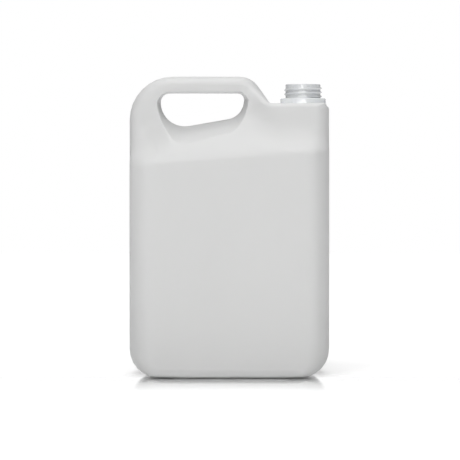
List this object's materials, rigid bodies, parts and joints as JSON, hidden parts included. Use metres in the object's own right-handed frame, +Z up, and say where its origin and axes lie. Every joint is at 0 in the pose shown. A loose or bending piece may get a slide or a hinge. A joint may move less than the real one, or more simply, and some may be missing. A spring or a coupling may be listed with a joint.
{
  "type": "plastic jerrycan",
  "caption": "Five-litre blow-moulded plastic jerrycan with a through handle at one top corner and an open threaded neck at the other.",
  "frame": {"origin": "centre of the base, on the surface the can stands on", "axes": "+X across the broad face from the handle side to the neck side, +Y through the depth to the back face, +Z up"},
  "size_m": [0.1956, 0.12, 0.2918],
  "materials": {
    "hdpe": "satin, natural polyethylene"
  },
  "bodies": {
    "root": {"jerrycan": "hdpe"}
  },
  "joints": []
}
